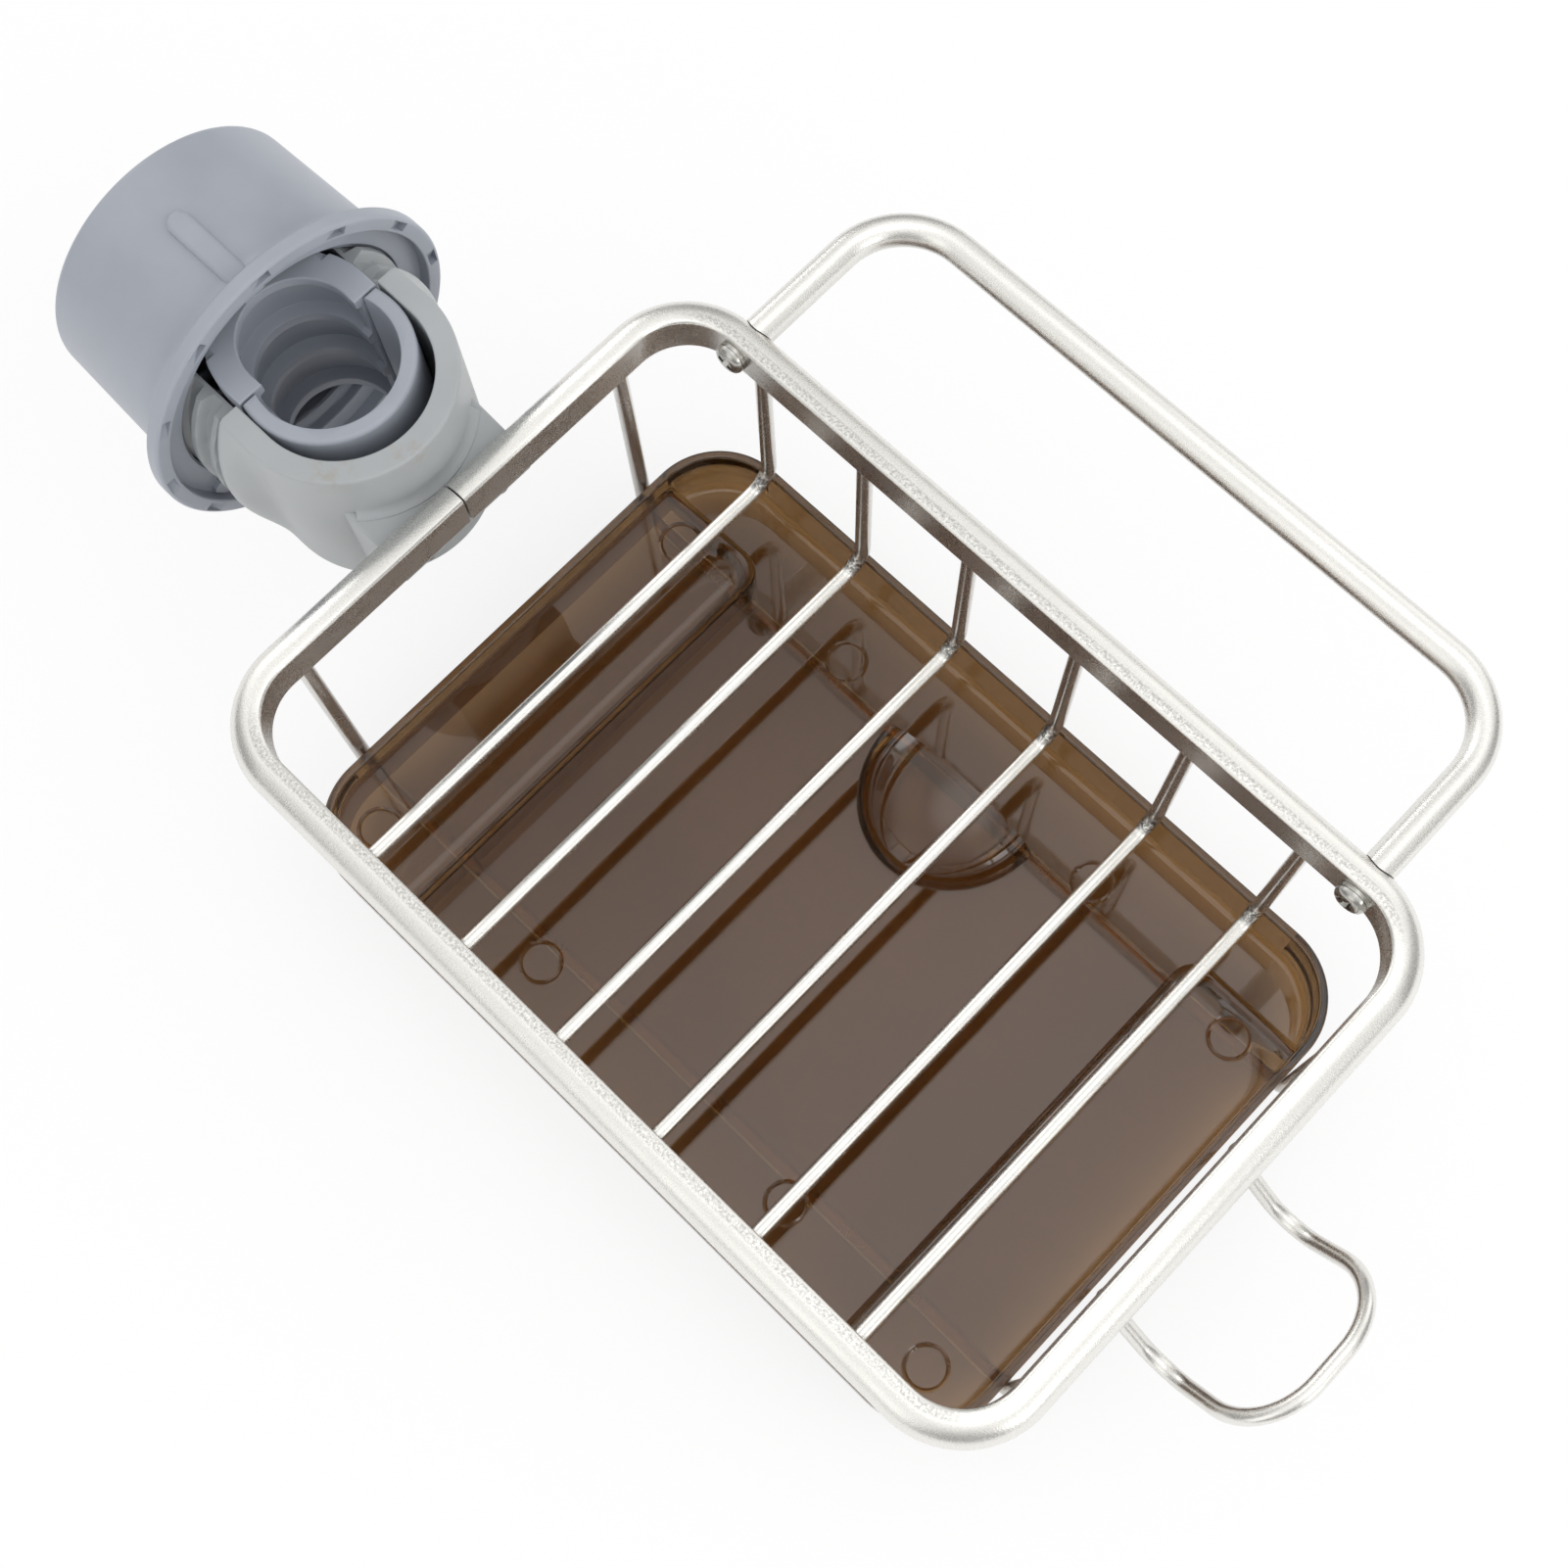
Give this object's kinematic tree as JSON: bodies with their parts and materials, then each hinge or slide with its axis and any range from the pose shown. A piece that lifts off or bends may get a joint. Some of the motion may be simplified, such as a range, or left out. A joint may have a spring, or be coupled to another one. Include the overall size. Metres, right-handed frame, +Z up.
{
  "type": "faucet sink caddy",
  "caption": "Wire sink basket that clamps on a faucet neck, with a slide-out drip tray, a towel bar and a hook loop.",
  "frame": {"origin": "centre of the clamp's faucet bore, at the height of the clamp screw's axis", "axes": "+X from the clamp to the hook loop, +Y to the towel bar, +Z up along the faucet bore"},
  "size_m": [0.2895, 0.16, 0.0987],
  "materials": {
    "satin_aluminium": "fine satin, anodised",
    "bright_steel": "bright",
    "light_grey_plastic": "fine matte moulding",
    "blue_grey_plastic": "fine matte moulding",
    "smoke_brown_plastic": "glossy, translucent smoke brown"
  },
  "bodies": {
    "frame": {"rim_rail": "satin_aluminium", "cross_wire_1": "satin_aluminium", "cross_wire_2": "satin_aluminium", "cross_wire_3": "satin_aluminium", "cross_wire_4": "satin_aluminium", "cross_wire_5": "satin_aluminium", "cross_wire_6": "satin_aluminium", "tray_runner_front": "satin_aluminium", "tray_runner_back": "satin_aluminium", "hook_loop": "satin_aluminium", "towel_bar": "satin_aluminium", "towel_bar_screw_1": "bright_steel", "towel_bar_screw_2": "bright_steel", "clamp_yoke": "light_grey_plastic", "yoke_screw_1": "bright_steel", "yoke_screw_2": "bright_steel"},
    "jaw": {"thrust_jaw": "blue_grey_plastic", "jaw_retaining_screw": "bright_steel"},
    "cup": {"screw_cup": "blue_grey_plastic"},
    "insert": {"half_ring_insert": "blue_grey_plastic"},
    "tray": {"drip_tray": "smoke_brown_plastic"}
  },
  "joints": [
    {"name": "jaw_slide", "type": "slide", "parent": "frame", "child": "jaw", "axis": [-1, 0, 0], "range_m": [0, 0.015]},
    {"name": "cup_turn", "type": "hinge", "parent": "jaw", "child": "cup", "pos_m": [-0.03, 0, 0], "axis": [-1, 0, 0], "range_deg": [0, 1080]},
    {"name": "insert_lift", "type": "slide", "parent": "frame", "child": "insert", "axis": [0, 0, 1], "range_m": [0, 0.045]},
    {"name": "tray_slide", "type": "slide", "parent": "frame", "child": "tray", "axis": [0, 1, 0], "range_m": [-0.095, 0.095]}
  ],
  "couplings": [
    {"joint": "jaw_slide", "follows": "cup_turn", "m_per_rad": 0.00079577}
  ]
}
